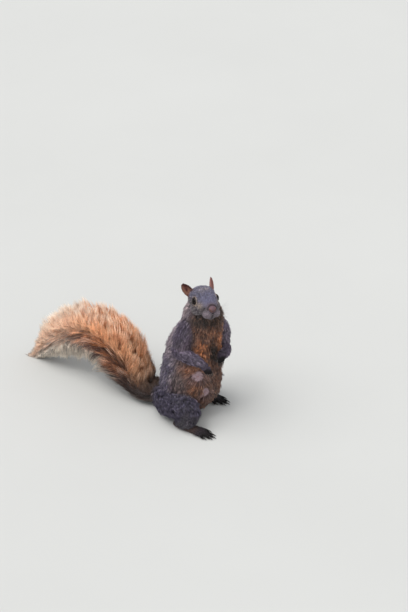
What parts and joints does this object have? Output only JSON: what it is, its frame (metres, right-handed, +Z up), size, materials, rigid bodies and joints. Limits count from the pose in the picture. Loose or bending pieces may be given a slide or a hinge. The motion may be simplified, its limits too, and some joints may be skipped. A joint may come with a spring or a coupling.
{
  "type": "grey squirrel",
  "caption": "Still, life-size eastern grey squirrel sitting upright on its haunches, forepaws held to its chest and bushy tail arched behind to the floor.",
  "frame": {"origin": "the middle of the bounding box, on the floor", "axes": "+Z up; +Y towards the tail's tip, so the pelvis faces -Y; +X to the animal's left"},
  "size_m": [0.1108, 0.3232, 0.2035],
  "materials": {
    "grey_coat": "dark grey fur with a violet cast and fine pale flecks",
    "chest_coat": "rusty brown fur of the chest and belly",
    "face_coat": "short bluish grey fur, paler on the muzzle",
    "tail_coat": "long rust-orange fur, dark along the middle, with cream tips",
    "paw_coat": "very short blackish fur",
    "ear_skin": "thin reddish skin with very short brown fur",
    "eye": "wet black",
    "claw_horn": "dark horn, slightly polished"
  },
  "bodies": {
    "root": {"belly": "chest_coat", "chest": "chest_coat", "claw_foot_left_1": "claw_horn", "claw_foot_left_2": "claw_horn", "claw_foot_left_3": "claw_horn", "claw_foot_left_4": "claw_horn", "claw_foot_left_5": "claw_horn", "claw_foot_right_1": "claw_horn", "claw_foot_right_2": "claw_horn", "claw_foot_right_3": "claw_horn", "claw_foot_right_4": "claw_horn", "claw_foot_right_5": "claw_horn", "claw_hand_left_1": "claw_horn", "claw_hand_left_2": "claw_horn", "claw_hand_left_3": "claw_horn", "claw_hand_left_4": "claw_horn", "claw_hand_right_1": "claw_horn", "claw_hand_right_2": "claw_horn", "claw_hand_right_3": "claw_horn", "claw_hand_right_4": "claw_horn", "ear_left": "ear_skin", "ear_right": "ear_skin", "eye_left": "eye", "eye_right": "eye", "foot_left": "paw_coat", "foot_right": "paw_coat", "forearm_left": "paw_coat", "forearm_right": "paw_coat", "hand_left": "paw_coat", "hand_right": "paw_coat", "head": "face_coat", "neck": "grey_coat", "shank_left": "grey_coat", "shank_right": "grey_coat", "tail_1": "tail_coat", "tail_2": "tail_coat", "tail_3": "tail_coat", "tail_4": "tail_coat", "tail_5": "tail_coat", "thigh_left": "grey_coat", "thigh_right": "grey_coat", "upper_arm_left": "grey_coat", "upper_arm_right": "grey_coat"}
  },
  "joints": []
}
